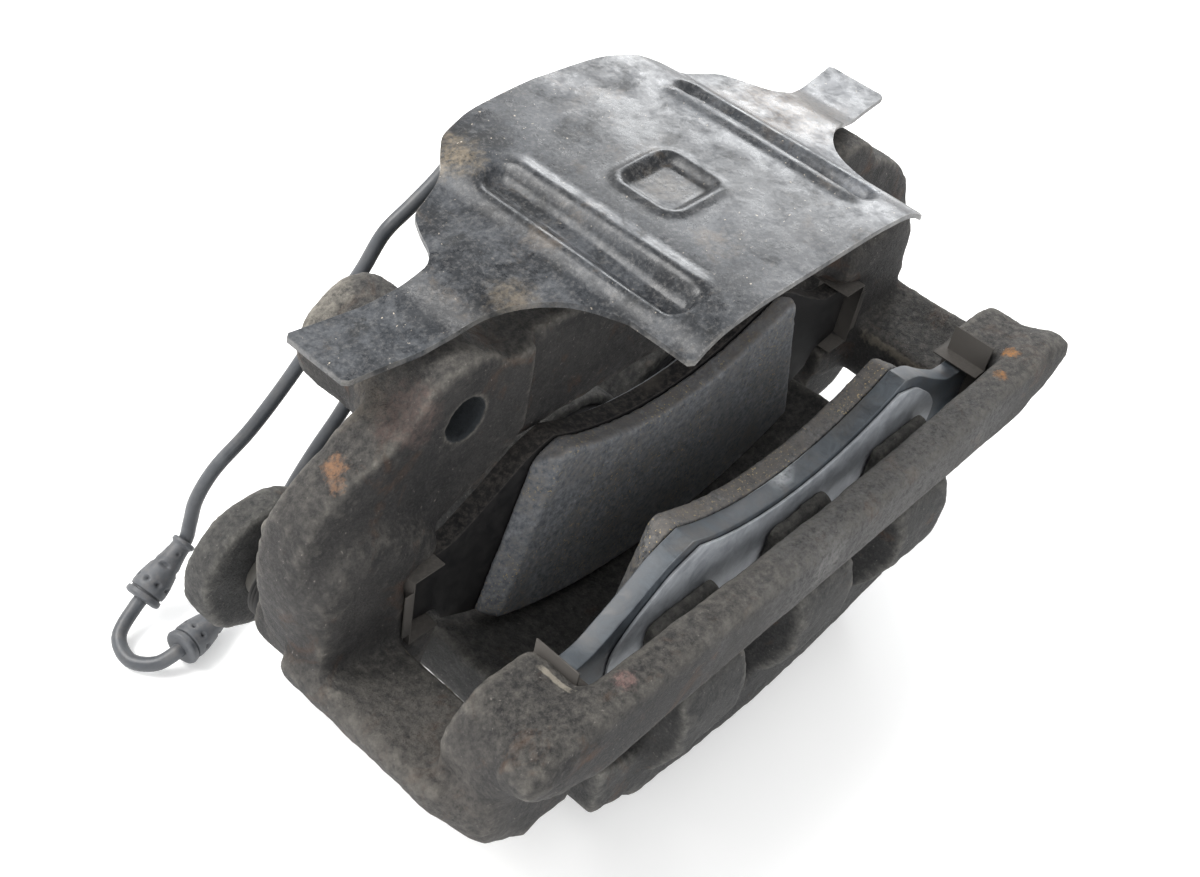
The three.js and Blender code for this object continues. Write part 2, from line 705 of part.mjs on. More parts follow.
const finishes = {
  castIron: () => finish(0x3a332e, 0.85, 0.35),
  housingIron: () => finish(0x2f2b28, 0.85, 0.35),
  sheetSteel: () => finish(0x23272b, 0.45, 0.6),
  stainless: () => finish(0x8a8d8c, 0.35, 0.9),
  padSteel: () => finish(0x31363b, 0.5, 0.6),
  friction: () => finish(0x4a433d, 0.95, 0.05),
  shim: () => finish(0x1f2226, 0.4, 0.4),
  chrome: () => finish(0xb4b6b8, 0.2, 1),
  zinc: () => finish(0x9a9684, 0.4, 0.9),
  rubber: () => finish(0x161718, 0.8, 0),
  plastic: () => finish(0x1c1d20, 0.6, 0),
};

// ---- assembly ----------------------------------------------------------------------------------

const group = new THREE.Group();
group.position.y = -boxMiddleY;

function place(name, solid, material, turn = 0) {
  const mesh = new THREE.Mesh(toGeometry(solid), material);
  mesh.name = name;
  mesh.rotation.z = turn;
  group.add(mesh);
}

const sides = { left: -1, right: 1 };

place('carrier_bracket', carrier(), finishes.castIron());
place('caliper_housing', housing(), finishes.housingIron());
place('shield_plate', shieldPlate(), finishes.sheetSteel());

for (const [name, side] of Object.entries(sides)) {
  place(`pad_clip_inner_${name}`, padClip(side, true), finishes.stainless());
  place(`pad_clip_outer_${name}`, padClip(side, false), finishes.stainless());
  place(`piston_${name}`, pistonCup(side), finishes.chrome());
  place(`piston_seal_${name}`, pistonSeal(side), finishes.rubber());
  place(`piston_dust_boot_${name}`, pistonDustBoot(side), finishes.rubber());
  place(`guide_pin_${name}`, guidePin(side), finishes.zinc());
  place(`guide_pin_bolt_${name}`, guidePinBolt(side), finishes.zinc());
  place(`guide_pin_boot_${name}`, guidePinBoot(side), finishes.rubber());
}
place('guide_pin_damper', guidePinDamper(1), finishes.rubber());

// The outer pad is the inner one turned half round.
for (const [name, turn] of [['inner', 0], ['outer', Math.PI]]) {
  place(`${name}_pad_plate`, padPlate(), finishes.padSteel(), turn);
  place(`${name}_pad_lining`, padLining(), finishes.friction(), turn);
  place(`${name}_pad_shim`, padShim(), finishes.shim(), turn);
}

place('bleeder_screw', bleederScrew(), finishes.zinc());
place('bleeder_cap', bleederCap(), finishes.rubber());
place('lead_bracket', leadBracket(), finishes.zinc());
place('lead_bracket_bolt', leadBracketBolt(), finishes.zinc());
place('sensor_head', sensorHead(), finishes.plastic());
place('sensor_lead', sensorLead(), finishes.rubber());
for (const [name, ends] of Object.entries(grommetEnds)) {
  place(name, leadGrommet(ends), finishes.rubber());
}
place('lead_connector', leadConnector(), finishes.plastic());

export default group;
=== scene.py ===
"""Looks for the brake caliper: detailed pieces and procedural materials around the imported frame.

Every length is in metres. The frame's +Y points inboard and Z = 0 is the floor.
"""

import json
import math

import bmesh
import bpy
import numpy as np
from mathutils import Matrix, Vector, noise


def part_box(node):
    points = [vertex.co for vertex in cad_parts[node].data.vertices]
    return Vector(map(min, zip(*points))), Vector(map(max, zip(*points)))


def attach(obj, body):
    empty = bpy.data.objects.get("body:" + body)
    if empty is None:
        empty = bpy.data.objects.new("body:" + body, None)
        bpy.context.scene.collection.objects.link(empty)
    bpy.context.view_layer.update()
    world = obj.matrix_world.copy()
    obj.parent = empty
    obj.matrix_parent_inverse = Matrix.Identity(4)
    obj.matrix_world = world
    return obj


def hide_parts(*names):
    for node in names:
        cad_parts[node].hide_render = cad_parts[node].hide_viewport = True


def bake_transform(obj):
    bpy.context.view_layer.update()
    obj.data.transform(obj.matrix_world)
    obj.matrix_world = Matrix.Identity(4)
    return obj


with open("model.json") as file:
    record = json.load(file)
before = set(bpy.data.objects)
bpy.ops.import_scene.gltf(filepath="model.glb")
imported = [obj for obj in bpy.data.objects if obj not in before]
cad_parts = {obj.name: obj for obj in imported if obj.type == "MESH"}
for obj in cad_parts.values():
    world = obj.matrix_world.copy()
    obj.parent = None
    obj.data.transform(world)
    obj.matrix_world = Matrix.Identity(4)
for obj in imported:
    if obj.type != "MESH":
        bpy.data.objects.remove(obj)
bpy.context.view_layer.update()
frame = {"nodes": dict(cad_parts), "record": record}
nodes = frame["nodes"]

MM = 0.001

# Places of the castings' bores, as x and z in metres, on the right-hand side.
HOLE_AT = (0.080, 0.122)
PIN_AT = (0.103, 0.045)
CYLINDER_AT = (0.0257, 0.060)
BLEEDER_AT = (0.038, 0.074)
PORT_AT = (0, 0.062)

# ---- camera -----------------------------------------------------------------------------


def make_camera():
    right = Vector((0.66476, -0.73056, 0.15614))
    up = Vector((0.43244, 0.54673, 0.71699))
    back = Vector((-0.60917, -0.40910, 0.67937))
    matrix = Matrix((right, up, back)).transposed().to_4x4()
    matrix.translation = Vector((-0.2800, -0.1779, 0.3687))
    data = bpy.data.cameras.new("camera")
    data.sensor_width = 36
    data.lens = 44.8
    data.clip_start = 0.01
    camera = bpy.data.objects.new("camera", data)
    bpy.context.collection.objects.link(camera)
    camera.matrix_world = matrix
    bpy.context.scene.camera = camera


# ---- meshes ------------------------------------------------------------------------------

WELD = 0.02 * MM  # points closer than this are one
FLAT = math.radians(0.5)  # faces that bend less than this are one
BEVEL_ANGLE = math.radians(28)  # edges that bend more than this are rounded
RELAX_SHARE = 0.6  # of the way to its neighbours' mean that a point moves in one round
DIMPLE_SLOPE = 2.2  # how steeply a dimple's wall falls


def new_object(name, data):
    obj = bpy.data.objects.new(name, data)
    bpy.context.collection.objects.link(obj)
    return obj


def piece(name, vertices, faces, body, material, sharp=40):
    """A new piece from its points and faces, riding on its body."""
    mesh = bpy.data.meshes.new(name)
    mesh.from_pydata([tuple(v) for v in vertices], [], faces)
    mesh.validate()
    obj = new_object(name, mesh)
    finish_piece(obj, body, material, sharp)
    return obj


def finish_piece(obj, body, material, sharp=40):
    """Shades a piece, gives it its material and, if a body is named, attaches it to that body."""
    shade(obj.data, sharp)
    obj.data.materials.clear()
    obj.data.materials.append(material)
    if body:
        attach(obj, body)


def shade(mesh, sharp):
    """Smooth shading, with the edges sharper than the angle kept crisp."""
    form = bmesh.new()
    form.from_mesh(mesh)
    bmesh.ops.recalc_face_normals(form, faces=form.faces)
    limit = math.radians(sharp)
    for face in form.faces:
        face.smooth = True
    for edge in form.edges:
        edge.smooth = not edge.is_manifold or edge.calc_face_angle(0) < limit
    form.to_mesh(mesh)
    form.free()


def copy_of(node, name):
    """A welded copy of a CAD node's mesh, as a new object."""
    mesh = bpy.data.meshes.new(name)
    form = bmesh.new()
    form.from_mesh(nodes[node].data)
    bmesh.ops.remove_doubles(form, verts=form.verts, dist=WELD)
    bmesh.ops.dissolve_limit(form, angle_limit=FLAT, verts=form.verts, edges=form.edges)
    form.to_mesh(mesh)
    form.free()
    return new_object(name, mesh)


def apply_modifiers(obj):
    bpy.context.view_layer.update()
    graph = bpy.context.evaluated_depsgraph_get()
    mesh = bpy.data.meshes.new_from_object(obj.evaluated_get(graph))
    obj.modifiers.clear()
    obj.data = mesh


def bevelled(node, name, body, material, width=0.4 * MM, segments=2, sharp=50):
    """A CAD node's own shape with its corners rounded."""
    obj = copy_of(node, name)
    bevel = obj.modifiers.new("bevel", "BEVEL")
    bevel.width = width
    bevel.segments = segments
    bevel.limit_method = "ANGLE"
    bevel.angle_limit = BEVEL_ANGLE
    apply_modifiers(obj)
    finish_piece(obj, body, material, sharp)
    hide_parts(node)
    return obj


def points_of(mesh):
    co = np.empty(len(mesh.vertices) * 3)
    mesh.vertices.foreach_get("co", co)
    return co.reshape(-1, 3)


def put_points(mesh, co):
    mesh.vertices.foreach_set("co", co.ravel())
    mesh.update()


def relax(mesh, rounds, weight):
    """Averages each point with its neighbours, by a weight from 0 to 1 for each point."""
    co = points_of(mesh)
    edges = np.empty(len(mesh.edges) * 2, dtype=np.int64)
    mesh.edges.foreach_get("vertices", edges)
    a, b = edges[0::2], edges[1::2]
    count = np.bincount(edges, minlength=len(co))[:, None]
    share = RELAX_SHARE * np.asarray(weight)[:, None]
    for _ in range(rounds):
        total = np.zeros_like(co)
        for axis in range(3):
            total[:, axis] = np.bincount(a, co[b, axis], len(co)) + np.bincount(b, co[a, axis], len(co))
        co += share * (total / count - co)
    put_points(mesh, co)


def normals_of(mesh):
    out = np.empty(len(mesh.vertices) * 3)
    mesh.vertices.foreach_get("normal", out)
    return out.reshape(-1, 3)


def roughen(mesh, layers, weight=None):
    """Moves each point along its normal by layers of noise, each (size, height, octaves)."""
    co = points_of(mesh)
    move = np.zeros(len(co))
    for number, (size, height, octaves) in enumerate(layers):
        shift = Vector((7.3 * number + 1.7, 3.1, 9.4))
        for i, point in enumerate(co):
            move[i] += height * noise.fractal(Vector(point) / size + shift, 0.9, 2.1, octaves)
    if weight is not None:
        move *= weight
    put_points(mesh, co + normals_of(mesh) * move[:, None])


def remeshed(node, name, voxel):
    """A CAD node's shape as an even grid of small faces."""
    obj = copy_of(node, name)
    grid = obj.modifiers.new("grid", "REMESH")
    grid.mode = "VOXEL"
    grid.voxel_size = voxel
    apply_modifiers(obj)
    return obj


def band(value, low, high, soft):
    """1 between low and high, and falling to 0 over the soft distance outside them."""
    return np.clip(1 + np.minimum(value - low, high - value) / soft, 0, 1)


def near_bore(co, side, place, radius, spread, y_range=(-1, 1)):
    """1 at a bore along Y and falling to 0 a spread away from it."""
    distance = np.abs(np.hypot(co[:, 0] - side * place[0], co[:, 2] - place[1]) - radius)
    inside = (co[:, 1] > y_range[0]) & (co[:, 1] < y_range[1])
    return np.clip(1 - distance / spread, 0, 1) * inside


def lathe(profile, origin, direction, segments, dimples=()):
    """Vertices and faces of a closed turned shape. profile is (along, radius) from end to end.
    Each dimple is (along, angle, half length, half width, depth) and sinks into the side."""
    axis = Vector(direction).normalized()
    side = axis.orthogonal().normalized()
    other = axis.cross(side)
    vertices, faces = [], []
    for along, radius in profile:
        for step in range(segments):
            angle = 2 * math.pi * step / segments
            r = radius
            for at, where, half_length, half_width, depth in dimples:
                turn = (angle - where + math.pi) % (2 * math.pi) - math.pi
                far = math.hypot((along - at) / half_length, turn * radius / half_width)
                r -= depth * max(0.0, min(1.0, DIMPLE_SLOPE * (1 - far)))
            out = side * math.cos(angle) + other * math.sin(angle)
            vertices.append(Vector(origin) + axis * along + out * r)
    for row in range(len(profile) - 1):
        for step in range(segments):
            a = row * segments + step
            b = row * segments + (step + 1) % segments
            faces.append((a, b, b + segments, a + segments))
    faces.append(tuple(reversed(range(segments))))
    last = (len(profile) - 1) * segments
    faces.append(tuple(range(last, last + segments)))
    return vertices, faces


def resampled(profile, step):
    """The profile with points no further apart than step."""
    out = []
    for (a, ra), (b, rb) in zip(profile, profile[1:]):
        parts = max(1, math.ceil(math.hypot(b - a, rb - ra) / step))
        out += [(a + (b - a) * k / parts, ra + (rb - ra) * k / parts) for k in range(parts)]
    return out + [profile[-1]]


# ---- materials ------------------------------------------------------------------------------


class Surface:
    """A principled material with helpers for its noise layers, all in object coordinates."""

    def __init__(self, name, metallic=0.0, specular=0.5):
        self.material = bpy.data.materials.new(name)
        self.material.use_nodes = True
        self.tree = self.material.node_tree
        self.shader = self.tree.nodes["Principled BSDF"]
        self.shader.inputs["Metallic"].default_value = metallic
        self.shader.inputs["Specular IOR Level"].default_value = specular
        self.place = self.node("ShaderNodeTexCoord").outputs["Object"]
        self.geometry = self.node("ShaderNodeNewGeometry")

    def node(self, kind, **settings):
        node = self.tree.nodes.new(kind)
        for key, value in settings.items():
            setattr(node, key, value)
        return node

    def link(self, source, target):
        if isinstance(source, (int, float)):
            target.default_value = source
        elif isinstance(source, tuple):
            target.default_value = source if len(source) == len(target.default_value) else (*source, 1)
        else:
            self.tree.links.new(source, target)

    def noise(self, size, detail=4, roughness=0.55, distortion=0.0):
        """Noise whose features are about size metres across."""
        node = self.node("ShaderNodeTexNoise")
        self.link(self.place, node.inputs["Vector"])
        node.inputs["Scale"].default_value = 1 / size
        node.inputs["Detail"].default_value = detail
        node.inputs["Roughness"].default_value = roughness
        node.inputs["Distortion"].default_value = distortion
        return node.outputs["Fac"]

    def cells(self, size):
        node = self.node("ShaderNodeTexVoronoi", feature="F1")
        self.link(self.place, node.inputs["Vector"])
        node.inputs["Scale"].default_value = 1 / size
        return node.outputs["Distance"]

    def ramp(self, value, low, high, start=0.0, end=1.0):
        node = self.node("ShaderNodeMapRange")
        self.link(value, node.inputs["Value"])
        for key, number in (("From Min", low), ("From Max", high), ("To Min", start), ("To Max", end)):
            node.inputs[key].default_value = number
        return node.outputs["Result"]

    def math(self, operation, a, b=0.0):
        node = self.node("ShaderNodeMath", operation=operation)
        self.link(a, node.inputs[0])
        self.link(b, node.inputs[1])
        return node.outputs[0]

    def mix(self, factor, a, b):
        node = self.node("ShaderNodeMix", data_type="RGBA", clamp_factor=True)
        self.link(factor, node.inputs["Factor"])
        self.link(a, node.inputs[6])
        self.link(b, node.inputs[7])
        return node.outputs[2]

    def over(self, base, colour, mask, amount):
        """The base with that much of the colour laid over it where the mask is 1."""
        return self.mix(self.math("MULTIPLY", mask, amount), base, colour)

    def edges(self, low=0.51, high=0.58):
        return self.ramp(self.geometry.outputs["Pointiness"], low, high)

    def hollows(self, low=0.49, high=0.43):
        return self.ramp(self.geometry.outputs["Pointiness"], low, high)

    def upward(self, low=0.3, high=0.95):
        split = self.node("ShaderNodeSeparateXYZ")
        self.link(self.geometry.outputs["Normal"], split.inputs[0])
        return self.ramp(split.outputs["Z"], low, high)

    def patch(self, centre, radius, soft=0.5):
        """1 inside a ball round the centre, with a ragged soft edge and fine speckle."""
        node = self.node("ShaderNodeVectorMath", operation="DISTANCE")
        self.link(self.place, node.inputs[0])
        node.inputs[1].default_value = centre
        reach = 0.7 * radius
        uneven = self.ramp(self.noise(radius * 0.45, 8, 0.7), 0.2, 0.8, -reach, reach)
        ragged = self.math("ADD", node.outputs["Value"], uneven)
        speckle = self.ramp(self.noise(1.6 * MM, 5, 0.75), 0.34, 0.6)
        return self.math("MULTIPLY", self.ramp(ragged, radius, radius * soft), speckle)

    def box_patch(self, centre, half, soft=0.6):
        """1 inside a box of those half sizes, ragged at its faces."""
        away = self.node("ShaderNodeVectorMath", operation="SUBTRACT")
        self.link(self.place, away.inputs[0])
        away.inputs[1].default_value = centre
        share = self.node("ShaderNodeVectorMath", operation="DIVIDE")
        self.link(away.outputs[0], share.inputs[0])
        share.inputs[1].default_value = half
        size = self.node("ShaderNodeVectorMath", operation="ABSOLUTE")
        self.link(share.outputs[0], size.inputs[0])
        split = self.node("ShaderNodeSeparateXYZ")
        self.link(size.outputs[0], split.inputs[0])
        far = self.math("MAXIMUM", split.outputs["X"], split.outputs["Y"])
        far = self.math("MAXIMUM", far, split.outputs["Z"])
        uneven = self.ramp(self.noise(3 * MM, 5, 0.7), 0.2, 0.8, -0.5, 0.5)
        ragged = self.math("ADD", far, uneven)
        return self.ramp(ragged, 1.0, soft)

    def bore_patch(self, x, z, radius):
        """1 within the radius of an axis along Y."""
        flat = self.node("ShaderNodeVectorMath", operation="MULTIPLY")
        self.link(self.place, flat.inputs[0])
        flat.inputs[1].default_value = (1, 0, 1)
        far = self.node("ShaderNodeVectorMath", operation="DISTANCE")
        self.link(flat.outputs[0], far.inputs[0])
        far.inputs[1].default_value = (x, 0, z)
        return self.ramp(far.outputs["Value"], radius, radius - 0.5 * MM)

    def done(self, colour, roughness, height=None, depth=0.2 * MM, strength=0.5):
        self.link(colour, self.shader.inputs["Base Color"])
        self.link(roughness, self.shader.inputs["Roughness"])
        if height is not None:
            bump = self.node("ShaderNodeBump")
            bump.inputs["Strength"].default_value = strength
            bump.inputs["Distance"].default_value = depth
            self.link(height, bump.inputs["Height"])
            self.link(bump.outputs["Normal"], self.shader.inputs["Normal"])
        return self.material


def cast_iron(name, dark, mid, light, rim, rust_share=0.12, patches=(), crusts=(), bores=()):
    """Sooty cast iron: three tones of grain, rust, dust on top, worn edges, painted shade in the hollows
    and near-black painted shade inside the listed bores.
    """
    s = Surface(name, metallic=0.0, specular=0.35)
    broad = s.noise(36 * MM, 9, 0.7, 0.2)
    medium = s.noise(3.4 * MM, 9, 0.75)
    fine = s.noise(0.9 * MM, 5, 0.75)
    tone = s.mix(s.ramp(medium, 0.36, 0.66), dark, mid)
    tone = s.over(tone, light, s.ramp(broad, 0.42, 0.72), 0.5)
    tone = s.over(tone, light, s.ramp(fine, 0.5, 0.68), 0.6)
    tone = s.over(tone, dark, s.ramp(fine, 0.5, 0.3), 0.5)
    rust = s.ramp(s.noise(16 * MM, 9, 0.7, 0.8), 0.62 - rust_share * 0.5, 0.74 - rust_share * 0.4)
    tone = s.over(tone, (0.115, 0.058, 0.03), rust, 0.45)
    dust = s.math("MULTIPLY", s.upward(0.35, 1.0), s.ramp(s.noise(2.4 * MM, 8, 0.75), 0.42, 0.72))
    tone = s.over(tone, rim, dust, 0.4)
    worn = s.math("MULTIPLY", s.edges(0.505, 0.56), s.ramp(s.noise(2.6 * MM, 8, 0.75), 0.3, 0.62))
    tone = s.over(tone, rim, worn, 0.8)
    # painted shade: the hollows are darkened towards the darkest iron tone
    tone = s.over(tone, dark, s.hollows(), 0.6)
    specks = s.math("GREATER_THAN", s.noise(0.9 * MM, 2), 0.735)
    tone = s.over(tone, (0.3, 0.27, 0.24), specks, 0.5)
    for centre, radius, colour, amount in patches:
        tone = s.over(tone, colour, s.patch(centre, radius), amount)
    for centre, half, colour, amount in crusts:
        tone = s.over(tone, colour, s.box_patch(centre, half), amount)
    # painted shade: each listed bore is filled with a near-black colour, standing in for the shadow deep
    # inside it
    for x, z, radius in bores:
        tone = s.mix(s.bore_patch(x, z, radius), tone, (0.022, 0.026, 0.03))
    height = s.math("ADD", s.math("MULTIPLY", medium, 1.5), s.math("MULTIPLY", fine, 0.7))
    pits = s.ramp(s.cells(2.6 * MM), 0.0, 0.35, 1, 0)
    height = s.math("SUBTRACT", height, s.math("MULTIPLY", pits, 0.25))
    return s.done(tone, s.ramp(medium, 0.3, 0.7, 0.62, 0.9), height, 0.8 * MM, 1.0)


# Each patch is (centre, radius, colour, amount).
PLATE_PATCHES = [
    ((0.066, 0.014, 0.149), 24 * MM, (0.125, 0.096, 0.072), 0.85),
    ((0.1, 0.018, 0.1424), 15 * MM, (0.035, 0.039, 0.048), 0.7),
    ((-0.041, 0.045, 0.1555), 9 * MM, (0.27, 0.22, 0.155), 0.65),
    ((-0.064, 0.0, 0.1500), 8 * MM, (0.2, 0.165, 0.12), 0.5),
    ((0.009, 0.0215, 0.158), 17 * MM, (0.007, 0.0075, 0.008), 0.75),
    ((-0.0055, 0.0025, 0.157), 9 * MM, (0.1, 0.085, 0.065), 0.6),
    ((-0.0204, -0.0331, 0.1578), 7 * MM, (0.006, 0.006, 0.007), 0.7),
    # painted highlight: a light bluish patch at the plate's front-right that stands in for a reflection of
    # the bright room
    ((0.045, -0.026, 0.1545), 12 * MM, (0.22, 0.235, 0.26), 0.5),
    ((0.012, -0.012, 0.158), 22 * MM, (0.009, 0.0095, 0.01), 0.7),
    ((-0.02, 0.012, 0.157), 16 * MM, (0.009, 0.0095, 0.01), 0.5),
]


def coated_sheet():
    """Black coated sheet under a film of brake dust, with stains, grit, brown dirt and one painted
    highlight patch.
    """
    s = Surface("coated_sheet_finish", specular=0.36)
    broad = s.noise(60 * MM, 5, 0.55, 0.5)
    stains = s.noise(13 * MM, 10, 0.75, 0.4)
    film = s.mix(s.ramp(broad, 0.38, 0.62), (0.008, 0.009, 0.011), (0.032, 0.036, 0.042))
    smudge = s.ramp(s.noise(15 * MM, 11, 0.8, 0.2), 0.47, 0.6)
    film = s.over(film, (0.1, 0.107, 0.118), smudge, 0.5)
    film = s.over(film, (0.007, 0.008, 0.009), s.ramp(stains, 0.55, 0.62), 0.8)
    grit = s.noise(1.5 * MM, 6, 0.8)
    film = s.over(film, (0.17, 0.165, 0.16), s.ramp(grit, 0.5, 0.64), 0.4)
    film = s.over(film, (0.007, 0.008, 0.009), s.ramp(grit, 0.48, 0.36), 0.6)
    brown = s.ramp(s.noise(17 * MM, 10, 0.78, 0.3), 0.56, 0.66)
    film = s.over(film, (0.13, 0.1, 0.072), brown, 0.4)
    for centre, radius, colour, amount in PLATE_PATCHES:
        film = s.over(film, colour, s.patch(centre, radius, 0.3), amount)
    worn = s.math("MULTIPLY", s.edges(0.56, 0.68), s.ramp(s.noise(5 * MM, 4), 0.35, 0.6))
    film = s.over(film, (0.4, 0.38, 0.35), worn, 0.8)
    specks = s.math("GREATER_THAN", s.noise(1.2 * MM, 2), 0.725)
    speckled = s.math("MULTIPLY", specks, s.ramp(s.noise(30 * MM, 3), 0.42, 0.6, 0.1, 0.9))
    film = s.mix(speckled, film, (0.5, 0.44, 0.36))
    rough = s.math("ADD", s.ramp(stains, 0.4, 0.6, 0.22, 0.42), s.math("MULTIPLY", smudge, 0.2))
    height = s.math("ADD", s.noise(1.2 * MM, 3, 0.6), s.math("MULTIPLY", s.noise(7 * MM, 3), 0.8))
    return s.done(film, rough, height, 0.12 * MM, 0.35)


def friction_material(name, dark, light):
    """Granular lining, dusty on top, with brown dirt and brass-coloured flakes."""
    s = Surface(name, specular=0.3)
    grain = s.noise(1.7 * MM, 6, 0.7)
    tone = s.mix(s.ramp(grain, 0.35, 0.68), dark, light)
    top = s.math("MULTIPLY", s.upward(0.4, 0.9), s.ramp(s.noise(4 * MM, 5, 0.7), 0.25, 0.6))
    tone = s.over(tone, (0.13, 0.12, 0.112), top, 0.7)
    brown = s.math("MULTIPLY", s.ramp(s.noise(14 * MM, 8, 0.75), 0.45, 0.62), s.ramp(grain, 0.42, 0.6))
    tone = s.over(tone, (0.12, 0.09, 0.055), brown, 0.5)
    flakes = s.math("GREATER_THAN", s.noise(0.75 * MM, 2), 0.64)
    flakes = s.math("MULTIPLY", flakes, s.ramp(s.noise(20 * MM, 3), 0.35, 0.6))
    tone = s.over(tone, (0.42, 0.33, 0.18), flakes, 0.8)
    return s.done(tone, s.ramp(grain, 0.3, 0.7, 0.6, 0.88), grain, 0.5 * MM, 0.7)


def backing_steel():
    """Painted steel, scuffed, dirty in places and bright at its edges."""
    s = Surface("backing_steel_finish", specular=0.5)
    scuff = s.noise(6 * MM, 8, 0.7, 1.0)
    tone = s.mix(s.ramp(scuff, 0.35, 0.7), (0.028, 0.034, 0.042), (0.085, 0.1, 0.115))
    dirt = s.ramp(s.noise(18 * MM, 7, 0.7, 0.6), 0.48, 0.68)
    tone = s.over(tone, (0.1, 0.085, 0.07), dirt, 0.5)
    bright = s.math("MULTIPLY", s.edges(0.53, 0.6), s.ramp(s.noise(3 * MM, 4), 0.3, 0.55))
    tone = s.over(tone, (0.52, 0.54, 0.56), bright, 0.85)
    return s.done(tone, s.ramp(scuff, 0.3, 0.7, 0.38, 0.62), s.noise(2 * MM, 4), 0.15 * MM, 0.35)


def satin(name, dark, light, roughness=0.45, size=8 * MM, edge=None, metallic=0.0, specular=0.5):
    """Rubber, plastic, shim or plated steel: two tones, dust in patches, lighter corners and painted shade
    in the hollows.
    """
    s = Surface(name, metallic=metallic, specular=specular)
    blot = s.noise(size, 6, 0.65, 0.4)
    tone = s.mix(s.ramp(blot, 0.35, 0.68), dark, light)
    dust = s.math("MULTIPLY", s.upward(0.2, 1.0), s.ramp(s.noise(size * 0.4, 6, 0.7), 0.45, 0.7))
    tone = s.over(tone, (0.25, 0.22, 0.19), dust, 0.25)
    if edge:
        tone = s.over(tone, edge, s.edges(0.52, 0.6), 0.7)
    # painted shade: the hollows are darkened almost to black
    tone = s.over(tone, (0.012, 0.012, 0.013), s.hollows(0.48, 0.4), 0.8)
    fine = s.noise(0.8 * MM, 4, 0.6)
    return s.done(tone, s.ramp(blot, 0.3, 0.7, roughness - 0.08, roughness + 0.12), fine, 0.08 * MM, 0.3)


# Each patch is (centre, radius, colour, amount), and each crust (centre, half sizes, colour, amount).
CARRIER_PATCHES = [
    ((-0.1145, 0.0035, 0.1215), 3.6 * MM, (0.32, 0.17, 0.09), 0.75),
    ((-0.1165, 0.0, 0.1195), 2.6 * MM, (0.3, 0.17, 0.1), 0.6),
    ((-0.0966, -0.0001, 0.1301), 10 * MM, (0.17, 0.115, 0.1), 0.5),
    ((-0.1, 0.012, 0.128), 9 * MM, (0.2, 0.17, 0.14), 0.45),
    ((-0.090, 0.040, 0.136), 11 * MM, (0.34, 0.315, 0.27), 0.65),
    ((-0.125, -0.045, 0.062), 30 * MM, (0.125, 0.115, 0.104), 0.6),
    ((0.0975, -0.0666, 0.0944), 3.5 * MM, (0.5, 0.21, 0.04), 0.75),
    ((0.0849, -0.0707, 0.0937), 2.5 * MM, (0.5, 0.21, 0.04), 0.7),
    ((-0.0893, -0.071, 0.094), 3.5 * MM, (0.33, 0.2, 0.18), 0.6),
    ((-0.0106, -0.0775, 0.0845), 9 * MM, (0.24, 0.235, 0.23), 0.5),
    ((0.02, -0.0705, 0.088), 80 * MM, (0.15, 0.147, 0.145), 0.55),
]
CARRIER_CRUSTS = [
    ((-0.1038, -0.030, 0.067), (1.1 * MM, 15 * MM, 4 * MM), (0.42, 0.37, 0.29), 0.75),
    ((-0.1000, -0.0590, 0.0915), (0.9 * MM, 6 * MM, 2.0 * MM), (0.42, 0.38, 0.31), 0.6),
    ((0.1038, -0.030, 0.067), (1.6 * MM, 15 * MM, 6 * MM), (0.35, 0.31, 0.25), 0.5),
]

